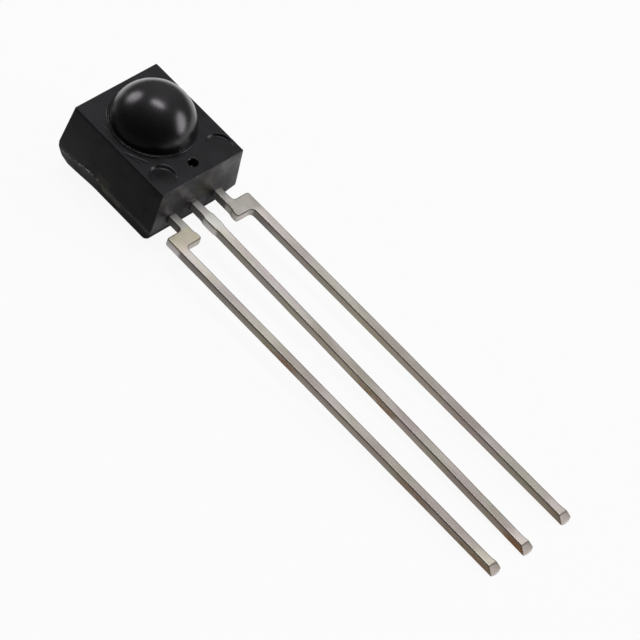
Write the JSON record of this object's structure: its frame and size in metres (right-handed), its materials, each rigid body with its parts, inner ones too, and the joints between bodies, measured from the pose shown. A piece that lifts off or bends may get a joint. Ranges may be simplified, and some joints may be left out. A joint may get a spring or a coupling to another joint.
{
  "type": "infrared receiver module",
  "caption": "Black moulded infrared receiver with a domed lens on its front face and parallel tinned leads, the outer ones stepped outwards below the body.",
  "frame": {"origin": "centre of the part's footprint, on the plane of the body's back face that it lies on", "axes": "+Z out of the back face towards the lens, +Y from the lead tips to the body's top end, +X to the right seen from the lens side with the leads down"},
  "size_m": [0.006, 0.0316, 0.0063],
  "materials": {
    "epoxy": "black infrared-passing epoxy, satin flats and a glossy dome",
    "tinned_lead": "tin-plated steel strip, dull, with rust at the sheared edges and cut tips",
    "silicon_diode": "polished silicon with a dark blue coating",
    "silicon_circuit": "patterned silicon",
    "die_bond": "silver-filled adhesive",
    "gold_wire": "drawn gold wire"
  },
  "bodies": {
    "root": {"moulded_body": "epoxy", "lead_left": "tinned_lead", "lead_middle": "tinned_lead", "lead_right": "tinned_lead", "photodiode_chip": "silicon_diode", "receiver_chip": "silicon_circuit", "photodiode_bond": "die_bond", "receiver_bond": "die_bond", "wire_diode": "gold_wire", "wire_output": "gold_wire", "wire_supply": "gold_wire", "wire_ground": "gold_wire"}
  },
  "joints": []
}
